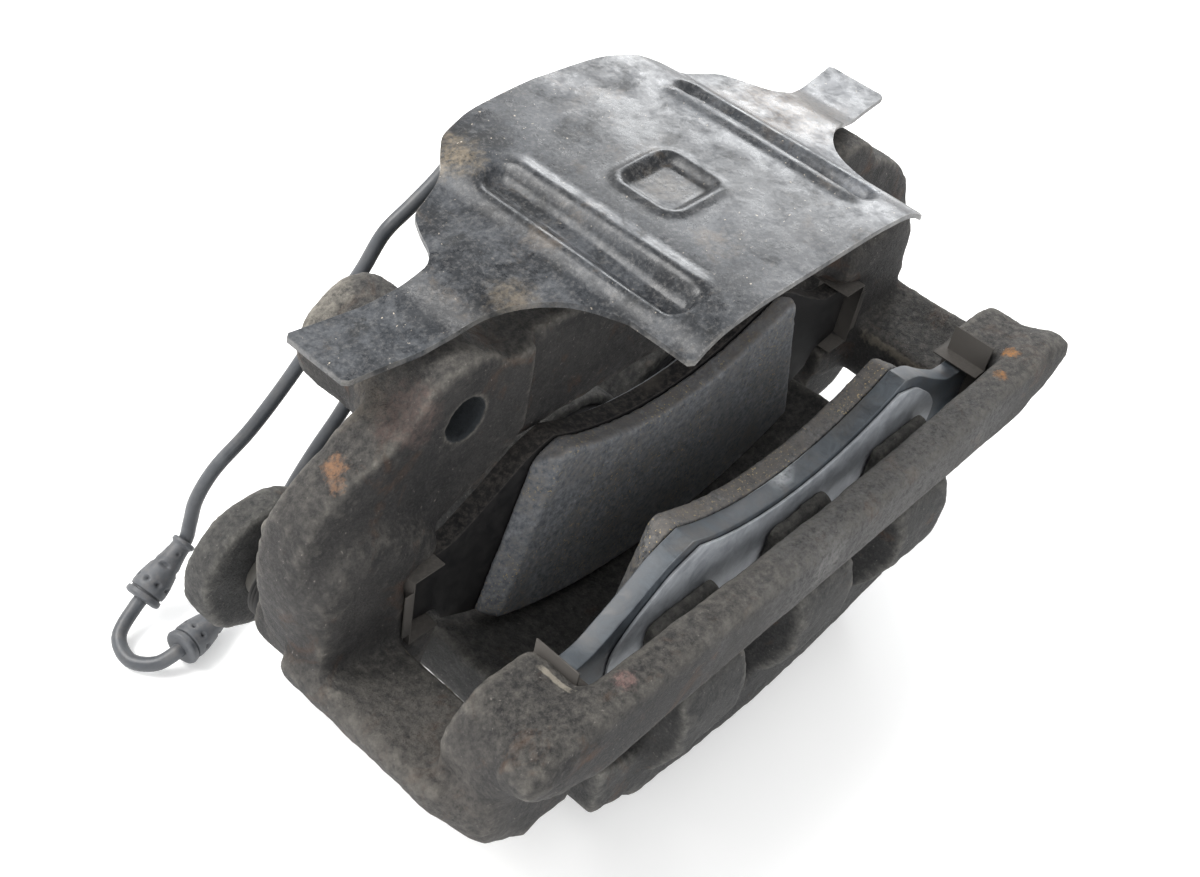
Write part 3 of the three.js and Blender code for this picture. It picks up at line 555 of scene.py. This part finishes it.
MATERIALS = {
    "carrier_iron": cast_iron(
        "carrier_iron_finish", (0.015, 0.0148, 0.0155), (0.038, 0.0365, 0.0365), (0.082, 0.077, 0.073),
        (0.3, 0.28, 0.245), 0.12, patches=CARRIER_PATCHES, crusts=CARRIER_CRUSTS,
        # painted shade inside both mounting bores
        bores=[(side * HOLE_AT[0], HOLE_AT[1], 6.9 * MM) for side in (-1, 1)],
    ),
    "housing_iron": cast_iron(
        "housing_iron_finish", (0.017, 0.0173, 0.018), (0.044, 0.0435, 0.044), (0.09, 0.088, 0.085),
        (0.26, 0.25, 0.225), 0.07,
    ),
    "coated_sheet_steel": coated_sheet(),
    # painted shade: the clips' near-black colour stands in for the shadow they sit in under the plate and
    # pads
    "stainless_clip": satin(
        "clip_painted_shade_finish", (0.006, 0.006, 0.006), (0.02, 0.019, 0.018), 0.7, 3 * MM, (0.13, 0.12, 0.11),
        specular=0.15,
    ),
    # painted shade: a near-black copy of the pad steel for the inner pad, whose plate sits in shadow deep
    # inside the caliper
    "painted_shade_backing": satin(
        "painted_shade_backing_finish", (0.008, 0.008, 0.009), (0.024, 0.023, 0.023), 0.7, 4 * MM,
        (0.08, 0.07, 0.06), specular=0.2,
    ),
    "dull_zinc": satin(
        "dull_zinc_finish", (0.03, 0.028, 0.025), (0.09, 0.084, 0.075), 0.55, 4 * MM,
        (0.25, 0.24, 0.22), 0.3,
    ),
    "pad_steel": backing_steel(),
    "friction_lining": friction_material("friction_finish", (0.028, 0.03, 0.034), (0.2, 0.2, 0.2)),
    # painted light: a lighter copy of the lining for the inner pad, standing in for light that does not
    # reach its recess
    "painted_lit_lining": friction_material("painted_lit_friction_finish", (0.085, 0.093, 0.105), (0.25, 0.258, 0.27)),
    "noise_shim": satin(
        "shim_finish", (0.17, 0.185, 0.205), (0.36, 0.38, 0.41), 0.55, 6 * MM, (0.5, 0.51, 0.52),
    ),
    "piston_chrome": satin("piston_finish", (0.42, 0.42, 0.42), (0.66, 0.66, 0.65), 0.3, 9 * MM, None, 1.0),
    "plated_steel": satin(
        "plated_finish", (0.2, 0.18, 0.13), (0.42, 0.39, 0.31), 0.42, 5 * MM, (0.6, 0.58, 0.52), 0.9,
    ),
    "black_rubber": satin("rubber_finish", (0.02, 0.02, 0.021), (0.045, 0.045, 0.047), 0.7, 4 * MM),
    "boot_rubber": satin(
        "boot_finish", (0.022, 0.022, 0.024), (0.05, 0.05, 0.053), 0.62, 5 * MM, (0.13, 0.125, 0.12),
    ),
    "grommet_rubber": satin("grommet_finish", (0.055, 0.059, 0.066), (0.095, 0.1, 0.109), 0.5, 7 * MM),
    "lead_jacket": satin("lead_finish", (0.045, 0.049, 0.056), (0.08, 0.086, 0.095), 0.42, 14 * MM),
    "black_plastic": satin(
        "plastic_finish", (0.03, 0.031, 0.033), (0.06, 0.062, 0.066), 0.48, 8 * MM, (0.12, 0.12, 0.12),
    ),
}

# ---- the sensor lead ------------------------------------------------------------------------

# From the sensor head down over both grommets to the connector, as part.mjs routes it.
ROUTE = [
    (-0.017, 0.0685, 0.131), (-0.0215, 0.0693, 0.1262), (-0.0295, 0.0706, 0.1197),
    (-0.037, 0.0722, 0.1132), (-0.0435, 0.0737, 0.1016), (-0.0544, 0.0762, 0.0849),
    (-0.066, 0.0782, 0.0684), (-0.0785, 0.08, 0.054), (-0.0901, 0.0822, 0.0428),
    (-0.0961, 0.0832, 0.033), (-0.0984, 0.0834, 0.0245), (-0.101, 0.0827, 0.0186),
    (-0.1104, 0.08105, 0.01355), (-0.1198, 0.0794, 0.0085), (-0.122, 0.079, 0.0073),
    (-0.131, 0.0746, 0.0042), (-0.1328, 0.0667, 0.0026), (-0.1284, 0.0598, 0.0042),
    (-0.123, 0.05785, 0.0066), (-0.1215, 0.0581, 0.0066), (-0.11085, 0.05995, 0.0066),
    (-0.1002, 0.0618, 0.0066), (-0.0963, 0.0625, 0.0066), (-0.088, 0.0647, 0.013),
    (-0.080, 0.0671, 0.0235), (-0.072, 0.0685, 0.034), (-0.063, 0.069, 0.044),
    (-0.054, 0.069, 0.0535), (-0.0475, 0.069, 0.062), (-0.044, 0.069, 0.069),
]
# Each grommet's narrow and wide ends.
GROMMETS = {
    "lead_grommet_upper": ((-0.101, 0.0827, 0.0186), (-0.1198, 0.0794, 0.0085)),
    "lead_grommet_lower": ((-0.1002, 0.0618, 0.0066), (-0.1215, 0.0581, 0.0066)),
}
LEAD_RADIUS = 2.25 * MM


def smooth_route(route, steps):
    """Points on the centripetal curve through the route, as part.mjs draws it."""
    points = [Vector(p) for p in route]
    points = [2 * points[0] - points[1], *points, 2 * points[-1] - points[-2]]
    out = []
    for p0, p1, p2, p3 in zip(points, points[1:], points[2:], points[3:]):
        t0, t1 = 0.0, (p1 - p0).length ** 0.5
        t2 = t1 + (p2 - p1).length ** 0.5
        t3 = t2 + (p3 - p2).length ** 0.5
        for step in range(steps):
            t = t1 + (t2 - t1) * step / steps
            a1 = p0.lerp(p1, (t - t0) / (t1 - t0))
            a2 = p1.lerp(p2, (t - t1) / (t2 - t1))
            a3 = p2.lerp(p3, (t - t2) / (t3 - t2))
            b1 = a1.lerp(a2, (t - t0) / (t2 - t0))
            b2 = a2.lerp(a3, (t - t1) / (t3 - t1))
            out.append(b1.lerp(b2, (t - t1) / (t2 - t1)))
    return out + [Vector(route[-1])]


def make_grommet(node):
    """A moulded grommet: a collar, a tapered body with small holes, and an end flange."""
    start, end = (Vector(p) for p in GROMMETS[node])
    length = (end - start).length
    profile = [
        (0, 2.4), (0, 3.4), (0.3, 3.7), (1.3, 3.7), (1.6, 3.3), (2.0, 3.0), (3.6, 3.1), (6.5, 3.6),
        (10.5, 4.6), (14.5, 5.4), (17.5, 5.6), (18.6, 5.4), (18.8, 4.9), (19.2, 4.9), (19.4, 5.6),
        (20.6, 5.8), (21.2, 5.5), (length / MM, 4.5), (length / MM, 2.4),
    ]
    profile = resampled([(along * MM, radius * MM) for along, radius in profile], 0.45 * MM)
    dimples = [(9.5 * MM, k * math.pi / 2 + 0.4, 0.9 * MM, 2.0 * MM, 0.9 * MM) for k in range(4)]
    dimples += [(15.5 * MM, k * math.pi / 4, 0.9 * MM, 0.9 * MM, 1.1 * MM) for k in range(8)]
    dimples += [(4.6 * MM, k * math.pi / 2, 0.6 * MM, 0.6 * MM, 0.5 * MM) for k in range(4)]
    vertices, faces = lathe(profile, start, end - start, 56, dimples)
    rubber = MATERIALS["grommet_rubber"]
    obj = piece(node + "_boot", vertices, faces, "housing", rubber, 60)
    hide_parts(node)
    return obj


def make_lead():
    """The cable along its route, with the grommets and the connector that it carries."""
    line = smooth_route(ROUTE, 7)
    curve = bpy.data.curves.new("sensor_cable", "CURVE")
    curve.dimensions = "3D"
    curve.bevel_depth = LEAD_RADIUS
    curve.bevel_resolution = 4
    curve.use_fill_caps = True
    spline = curve.splines.new("POLY")
    spline.points.add(len(line) - 1)
    for point, place in zip(spline.points, line):
        point.co = (*place, 1)
    spline.use_smooth = True
    cable = new_object("sensor_cable", curve)
    curve.materials.append(MATERIALS["lead_jacket"])
    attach(cable, "housing")
    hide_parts("sensor_lead")
    pieces = [make_grommet(node) for node in GROMMETS]
    pieces.append(bevelled("lead_connector", "cable_connector", "housing",
                           MATERIALS["black_plastic"], 0.5 * MM, 3))


# ---- castings ---------------------------------------------------------------------------------

HELD_IN_RELAX = 0.93  # share of the smoothing that machined bores are spared
HELD_IN_ROUGHEN = 0.9  # share of the cast surface that they are spared


def make_carrier():
    obj = remeshed("carrier_bracket", "carrier_casting", 1.1 * MM)
    mesh = obj.data
    co = points_of(mesh)
    crisp = np.zeros(len(co))
    for side in (-1, 1):
        crisp = np.maximum(crisp, near_bore(co, side, HOLE_AT, 6.2 * MM, 3.5 * MM))
        crisp = np.maximum(crisp, near_bore(co, side, PIN_AT, 7.2 * MM, 3 * MM))
    relax(mesh, 12, 1 - HELD_IN_RELAX * crisp)
    across, along, up = np.abs(co[:, 0]), co[:, 1], co[:, 2]
    wall_step = band(across, 0.088, 0.136, 5 * MM) * band(along, -0.016, 0.009, 3 * MM)
    wall_step = wall_step * band(up, 0.084, 0.118, 6 * MM)
    bar_ends = band(across, 0.106, 0.140, 6 * MM) * band(along, -0.080, -0.058, 5 * MM)
    bar_rim = 0.25 * band(along, -0.080, -0.062, 2 * MM)
    relax(mesh, 45, np.maximum(wall_step, np.maximum(bar_ends, bar_rim)) * (1 - crisp))
    even = 0.55 * band(along, -0.080, -0.060, 4 * MM) * band(across, 0, 0.1, 10 * MM)
    layers = [(16 * MM, 0.3 * MM, 3), (5 * MM, 0.2 * MM, 3), (2.4 * MM, 0.17 * MM, 2)]
    roughen(mesh, layers, (1 - HELD_IN_ROUGHEN * crisp) * (1 - even))
    finish_piece(obj, "carrier", MATERIALS["carrier_iron"], 180)
    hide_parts("carrier_bracket")


def make_housing():
    obj = remeshed("caliper_housing", "housing_casting", 1.15 * MM)
    mesh = obj.data
    co = points_of(mesh)
    crisp = np.zeros(len(co))
    for side in (-1, 1):
        bore = near_bore(co, side, CYLINDER_AT, 21.3 * MM, 4 * MM, (-0.01, 0.05))
        crisp = np.maximum(crisp, bore)
        crisp = np.maximum(crisp, near_bore(co, side, PIN_AT, 5 * MM, 3 * MM, (0.04, 0.06)))
    crisp = np.maximum(crisp, near_bore(co, 1, BLEEDER_AT, 4 * MM, 2.5 * MM, (0.05, 0.065)))
    crisp = np.maximum(crisp, near_bore(co, 1, PORT_AT, 5 * MM, 3 * MM, (0.04, 0.065)))
    relax(mesh, 10, 1 - HELD_IN_RELAX * crisp)
    layers = [(16 * MM, 0.35 * MM, 3), (5 * MM, 0.24 * MM, 3), (2.4 * MM, 0.16 * MM, 2)]
    roughen(mesh, layers, 1 - HELD_IN_ROUGHEN * crisp)
    finish_piece(obj, "housing", MATERIALS["housing_iron"], 180)
    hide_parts("caliper_housing")


# ---- shield plate -------------------------------------------------------------------------------

# The plate is drawn in millimetres, with x across and y inboard.
DRAWING_Y = 29.5  # the drawing's y where the frame's Y is 0
SHEET = 1.6  # thickness
TIP_X = 109.7  # end of a wing
BODY_X = 49.8  # where the body ends and a wing begins
BODY_FRONT = -14.4
WING_FRONT = 5.3  # where a wing's front edge leaves the body
CORNER = 1.2  # radius of the outer corners
COLUMNS = 176  # faces across
FRONT_ROWS, ROWS = 18, 70  # faces along, in front of the wings and in line with them

# Height of the plate's top by the distance from its middle.
ARCH = [
    (0, 158), (20, 157.8), (38, 156.4), (44, 154.6), (49.8, 151.6), (58, 150.4), (70.5, 148.9),
    (82, 144.6), (91, 142.6), (110, 142.4),
]
# A wing's front edge and the plate's back edge, by the distance from the middle.
FRONT_EDGE = [
    (BODY_X, WING_FRONT), (53, 14.2), (56.8, 20.2), (64, 25.9), (73.7, 30), (84, 32.6), (94.3, 34.3),
    (TIP_X, 36.1),
]
BACK_EDGE = [
    (0, 86.8), (9.5, 86.5), (26, 85.2), (33, 83.6), (38, 82.0), (43, 77.6), (47, 73.2), (55.7, 69.1),
    (61, 66.8), (64.5, 61.5), (68.5, 53.5), (72.5, 51.0), (90, 54.1), (TIP_X, 57.4),
]
# Both grooves, with a ridge along the inner side, and the square pocket between them.
GROOVE = {
    "x": 38, "front": 0.5, "back": 60.5, "inner": 5.0, "outer": 7.0, "end": 5.6,
    "depth": 4.6, "rise": 1.5, "rise_over": 40, "slope": 1.35,
}
RIDGE = {"offset": 6.6, "width": 4.2, "front": 2, "back": 60, "end": 6, "height": 1.1}
POCKET = {
    "x": -5.5, "y": 31.8, "half_x": 6.6, "half_y": 6.0, "rim": 7.4, "rim_slope": 3.0, "rim_height": 0.7,
    "edge": 4.6, "wall": 3.4, "depth": 2.4,
}


def through(table, x):
    """Smooth interpolation through the table's points."""
    xs, ys = [row[0] for row in table], [row[1] for row in table]
    i = max(0, min(len(xs) - 2, int(np.searchsorted(xs, x)) - 1))
    slopes = [(ys[k + 1] - ys[k]) / (xs[k + 1] - xs[k]) for k in range(len(xs) - 1)]

    def slope(k):
        if k in (0, len(xs) - 1):
            return slopes[min(k, len(slopes) - 1)]
        a, b = slopes[k - 1], slopes[k]
        return 0 if a * b <= 0 else 2 * a * b / (a + b)

    h = xs[i + 1] - xs[i]
    t = (x - xs[i]) / h
    a, b = slope(i) * h, slope(i + 1) * h
    return (
        ys[i] * (1 + 2 * t) * (1 - t) ** 2 + a * t * (1 - t) ** 2
        + ys[i + 1] * t * t * (3 - 2 * t) + b * t * t * (t - 1)
    )


def step(value):
    """A smooth step from 0 to 1."""
    value = max(0.0, min(1.0, value))
    return value * value * (3 - 2 * value)


def plate_height(x, y):
    """Top of the plate at a point of the drawing, in millimetres."""
    z = through(ARCH, abs(x))
    beside = abs(x) - GROOVE["x"]
    beyond = max(0.0, GROOVE["front"] - y, y - GROOVE["back"])
    width = GROOVE["outer"] if beside > 0 else GROOVE["inner"]
    depth = GROOVE["depth"] - GROOVE["rise"] * step(y / GROOVE["rise_over"])
    z -= depth * step(GROOVE["slope"] * (1 - math.hypot(beside / width, beyond / GROOVE["end"])))
    past_ridge = max(0.0, RIDGE["front"] - y, y - RIDGE["back"])
    off_ridge = math.hypot((beside + RIDGE["offset"]) / RIDGE["width"], past_ridge / RIDGE["end"])
    z += RIDGE["height"] * step(1 - off_ridge)
    dx = max(0.0, abs(x - POCKET["x"]) - POCKET["half_x"])
    dy = max(0.0, abs(y - POCKET["y"]) - POCKET["half_y"])
    reach = math.hypot(dx, dy)
    z += POCKET["rim_height"] * step((POCKET["rim"] - reach) / POCKET["rim_slope"])
    z -= POCKET["depth"] * step((POCKET["edge"] - reach) / POCKET["wall"])
    wave, wave_height = 34, 0.35
    return z + wave_height * noise.fractal(Vector((x / wave, y / wave, 3.7)), 1.0, 2.0, 2)


def corner_trim(past):
    """How far a rounded corner takes an edge back, past the point where the corner begins."""
    past = max(0.0, past)
    return CORNER - math.sqrt(max(0.0, CORNER ** 2 - past ** 2))


def plate_column(x):
    """The y of each row of points at one x, from the front edge to the back."""
    wide = abs(x)
    trim = corner_trim(wide - (TIP_X - CORNER))
    ys = []
    front = WING_FRONT
    if wide < BODY_X + 1e-6:
        first = BODY_FRONT + corner_trim(wide - (BODY_X - CORNER))
        ys = [first + (front - first) * k / FRONT_ROWS for k in range(FRONT_ROWS)]
    else:
        front = through(FRONT_EDGE, wide) + trim
    back = through(BACK_EDGE, wide) - trim
    return ys + [front + (back - front) * k / ROWS for k in range(ROWS + 1)]


def make_plate():
    """The plate as a top and a bottom grid, with a rim between them."""
    columns = [-TIP_X + TIP_X * 2 * k / COLUMNS for k in range(COLUMNS + 1)]
    columns = sorted(set(columns) | {-BODY_X, BODY_X})
    top = [[(x, y, plate_height(x, y)) for y in plate_column(x)] for x in columns]
    vertices, index = [], {}
    for level, drop in enumerate((0, SHEET)):
        for i, column in enumerate(top):
            for j, (x, y, z) in enumerate(column):
                key = (level, i, len(column) - j)
                index[key] = len(vertices)
                vertices.append((x * MM, (y - DRAWING_Y) * MM, (z - drop) * MM))
    faces, borders = [], {}
    for i in range(len(top) - 1):
        rows = min(len(top[i]), len(top[i + 1]))
        for j in range(1, rows):
            ring = [(i, j), (i + 1, j), (i + 1, j + 1), (i, j + 1)]
            faces.append([index[(0, *spot)] for spot in ring])
            faces.append([index[(1, *spot)] for spot in reversed(ring)])
            for a, b in zip(ring, ring[1:] + ring[:1]):
                borders[(a, b)] = borders.get((a, b), 0) + 1
    for a, b in borders:
        if (b, a) not in borders:
            faces.append([index[(0, *b)], index[(0, *a)], index[(1, *a)], index[(1, *b)]])
    coated = MATERIALS["coated_sheet_steel"]
    obj = piece("shield_sheet", vertices, faces, "shield", coated, 50)
    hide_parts("shield_plate")


# ---- pads ---------------------------------------------------------------------------------------


def make_pads():
    for pad in ("inner", "outer"):
        body = pad + "_pad"
        # the inner pad's plate takes the near-black painted-shade copy of the pad steel
        steel = MATERIALS["painted_shade_backing" if pad == "inner" else "pad_steel"]
        shim = MATERIALS["noise_shim"]
        bevelled(f"{body}_plate", f"{body}_backing", body, steel, 0.7 * MM, 3)
        bevelled(f"{body}_shim", f"{body}_shim_sheet", body, shim, 0.25 * MM, 2)
        lining = remeshed(f"{body}_lining", f"{body}_friction", 0.75 * MM)
        relax(lining.data, 3, np.ones(len(lining.data.vertices)))
        roughen(lining.data, [(9 * MM, 0.12 * MM, 3), (2.4 * MM, 0.14 * MM, 2)])
        # the inner pad's lining takes the lighter painted-light copy of the lining
        friction = MATERIALS["painted_lit_lining" if pad == "inner" else "friction_lining"]
        finish_piece(lining, body, friction, 180)
        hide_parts(f"{body}_lining")


# ---- rubber boots ---------------------------------------------------------------------------------


def make_pin_boots():
    """A ribbed bellows on each guide pin. The real one stretches as the housing slides; this mesh keeps one
    shape and rides on no body.
    """
    folds = 3
    lip = 1.1 * MM  # plain rubber at each end
    fold_shape = ((0.2, 0.9), (0.5, 1.0), (0.8, 0.9), (1.0, 0.76))  # (share of pitch, of radius)
    for side in ("left", "right"):
        node = f"guide_pin_boot_{side}"
        low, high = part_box(node)
        x, z = (low.x + high.x) / 2, (low.z + high.z) / 2
        length, outer = high.y - low.y, (high.x - low.x) / 2
        inner = outer * 0.62 * 0.95
        profile = [(0, inner), (0, outer * 0.8), (0.5 * MM, outer * 0.86)]
        pitch = (length - 2 * lip) / folds
        for k in range(folds):
            start = lip + (length - 2 * lip) * k / folds
            profile += [(start + pitch * along, outer * share) for along, share in fold_shape]
        profile += [(length - 0.5 * MM, outer * 0.84), (length, outer * 0.78), (length, inner)]
        vertices, faces = lathe(profile, (x, low.y, z), (0, 1, 0), 48)
        rubber = MATERIALS["boot_rubber"]
        obj = piece(node + "_bellows", vertices, faces, None, rubber, 70)
        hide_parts(node)
        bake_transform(obj)


def make_small_parts():
    """The CAD nodes that keep their shape, each with its corners rounded by a width in millimetres."""
    widths = {
        "piston_left": 0.5, "piston_right": 0.5, "guide_pin_left": 0.3, "guide_pin_right": 0.3,
        "guide_pin_bolt_left": 0.5, "guide_pin_bolt_right": 0.5, "bleeder_screw": 0.3,
        "bleeder_cap": 0.6, "lead_bracket": 0.3, "lead_bracket_bolt": 0.5, "sensor_head": 0.8,
        "guide_pin_damper": 0.3, "piston_seal_left": 0.3, "piston_seal_right": 0.3,
        "piston_dust_boot_left": 0.4, "piston_dust_boot_right": 0.4,
    }
    slots = {part["node"]: part["material_slot"] for part in frame["record"]["subparts"]}
    bodies = frame["record"]["behaviour"]["bodies"]
    rides = {node: body for body, members in bodies.items() for node in members}
    for end in ("inner_left", "inner_right", "outer_left", "outer_right"):
        widths[f"pad_clip_{end}"] = 0.12
    for node, width in widths.items():
        slot = slots[node]
        finish = "dull_zinc" if node in ("guide_pin_left", "guide_pin_right") else slot
        bevelled(node, node + "_piece", rides[node], MATERIALS[finish], width * MM, 2, 60)


# ---- floor and light -------------------------------------------------------------------------------


def make_floor():
    s = Surface("floor_finish", specular=0.2)
    tone = s.mix(s.noise(0.4, 3), (0.86, 0.86, 0.855), (0.9, 0.9, 0.895))
    material = s.done(tone, 0.75)
    s.shader.inputs["Emission Color"].default_value = (1, 1, 1, 1)
    s.shader.inputs["Emission Strength"].default_value = 0.3
    mesh = bpy.data.meshes.new("floor")
    size = 6
    corners = [(-size, -size, 0), (size, -size, 0), (size, size, 0), (-size, size, 0)]
    mesh.from_pydata(corners, [], [(0, 1, 2, 3)])
    mesh.materials.append(material)
    new_object("floor", mesh)


AIM = (0, 0, 0.05)  # where the lights point
# Each lamp is (name, place, size in metres, power in watts, colour).
LAMPS = [
    ("key", (-0.6, 0.7, 1.2), 0.8, 24, (1, 0.99, 0.975)),
    ("side", (0.9, 0.5, 0.6), 0.5, 7, (0.96, 0.98, 1)),
    ("front", (-0.8, -0.9, 0.9), 0.8, 4, (0.97, 0.985, 1)),
]
# The white room's brightness by height: 0 is straight down and 1 straight up.
ROOM = [(0.0, 1.3), (0.34, 1.3), (0.56, 0.6), (0.78, 0.6), (1.0, 1.1)]


def area_light(name, place, size, power, colour):
    data = bpy.data.lights.new(name, "AREA")
    data.size = size
    data.energy = power
    data.color = colour
    light = new_object(name, data)
    light.location = place
    light.rotation_euler = (Vector(AIM) - Vector(place)).to_track_quat("-Z", "Y").to_euler()


def make_light():
    world = bpy.data.worlds.new("studio")
    bpy.context.scene.world = world
    world.use_nodes = True
    tree = world.node_tree
    split = tree.nodes.new("ShaderNodeSeparateXYZ")
    tree.links.new(tree.nodes.new("ShaderNodeTexCoord").outputs["Generated"], split.inputs[0])
    sky = tree.nodes.new("ShaderNodeValToRGB")
    tree.links.new(split.outputs["Z"], sky.inputs["Fac"])
    stops = sky.color_ramp.elements
    for height, _ in ROOM[1:-1]:
        stops.new(height)
    for stop, (height, level) in zip(stops, ROOM):
        stop.position = height
        stop.color = (level, level, level, 1)
    tree.links.new(sky.outputs["Color"], tree.nodes["Background"].inputs["Color"])
    for lamp in LAMPS:
        area_light(*lamp)
    bpy.context.scene.view_settings.view_transform = "Standard"


make_camera()
make_lead()
make_carrier()
make_housing()
make_plate()
make_pads()
make_pin_boots()
make_small_parts()
make_floor()
make_light()
